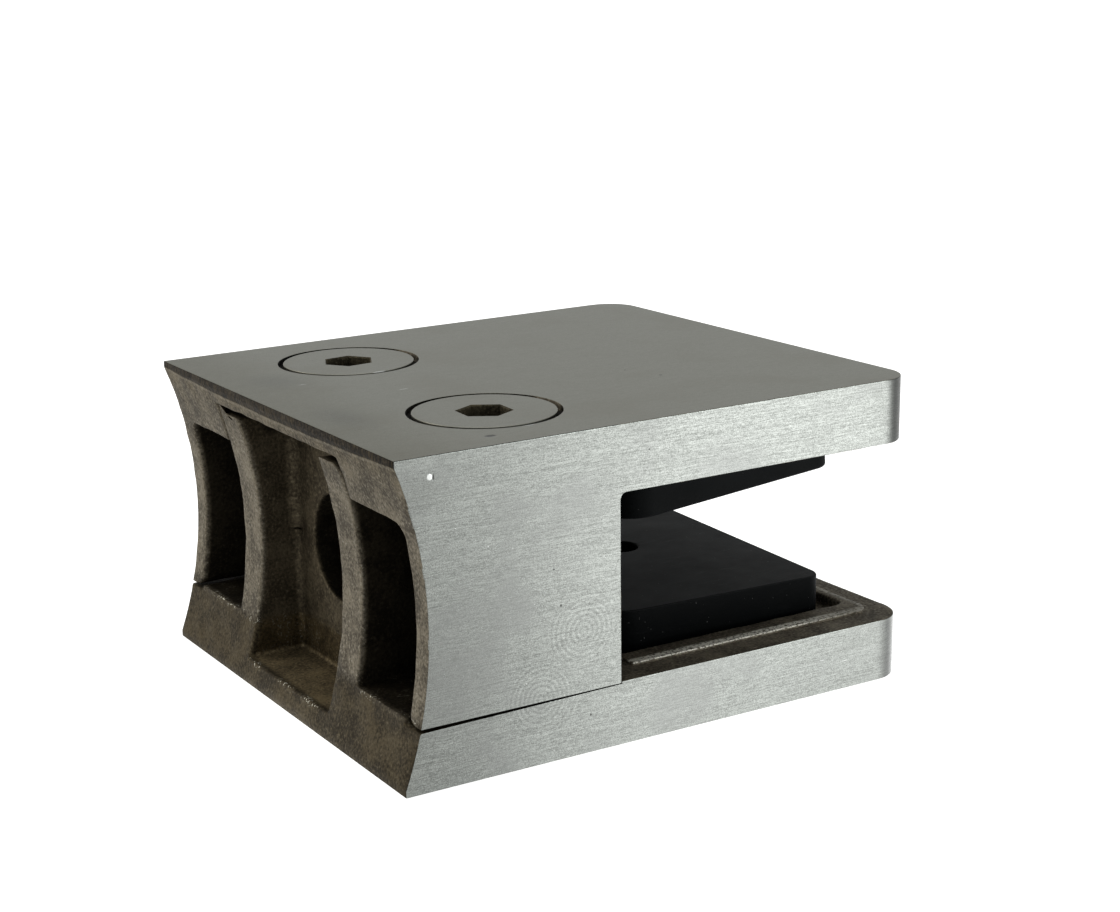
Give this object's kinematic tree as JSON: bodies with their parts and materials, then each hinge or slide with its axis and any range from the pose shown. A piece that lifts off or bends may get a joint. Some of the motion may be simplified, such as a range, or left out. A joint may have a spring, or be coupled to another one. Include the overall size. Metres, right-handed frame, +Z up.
{
  "type": "glass panel clamp",
  "caption": "Cast steel clamp that holds the edge of a glass pane to a round post: two jaws drawn together by countersunk screws, with rubber pads in the slot.",
  "frame": {"origin": "centre of the clamp's footprint, on its flat underside", "axes": "+X from the post towards the pane, +Y across the clamp, +Z up through the cover"},
  "size_m": [0.0506, 0.046, 0.027],
  "materials": {
    "base_steel": "investment cast stainless steel, outer faces ground",
    "cover_steel": "cast stainless steel, outer faces brushed satin",
    "pad_rubber": "matt black rubber",
    "screw_steel": "satin stainless steel"
  },
  "bodies": {
    "base": {"base_jaw": "base_steel", "lower_pad": "pad_rubber"},
    "cover": {"cover_jaw": "cover_steel", "upper_pad": "pad_rubber"},
    "near_screw": {"screw_near": "screw_steel"},
    "far_screw": {"screw_far": "screw_steel"}
  },
  "joints": [
    {"name": "cover_lift", "type": "slide", "parent": "base", "child": "cover", "axis": [0, 0, 1], "range_m": [0, 0.005]},
    {"name": "near_screw_turn", "type": "hinge", "parent": "cover", "child": "near_screw", "pos_m": [-0.01135, -0.0124, 0.027], "axis": [0, 0, 1], "range_deg": [0, 1800]},
    {"name": "far_screw_turn", "type": "hinge", "parent": "cover", "child": "far_screw", "pos_m": [-0.01135, 0.0124, 0.027], "axis": [0, 0, 1], "range_deg": [0, 1800]}
  ],
  "couplings": [
    {"joint": "near_screw_turn", "follows": "cover_lift", "rad_per_m": 6283.2},
    {"joint": "far_screw_turn", "follows": "cover_lift", "rad_per_m": 6283.2}
  ]
}
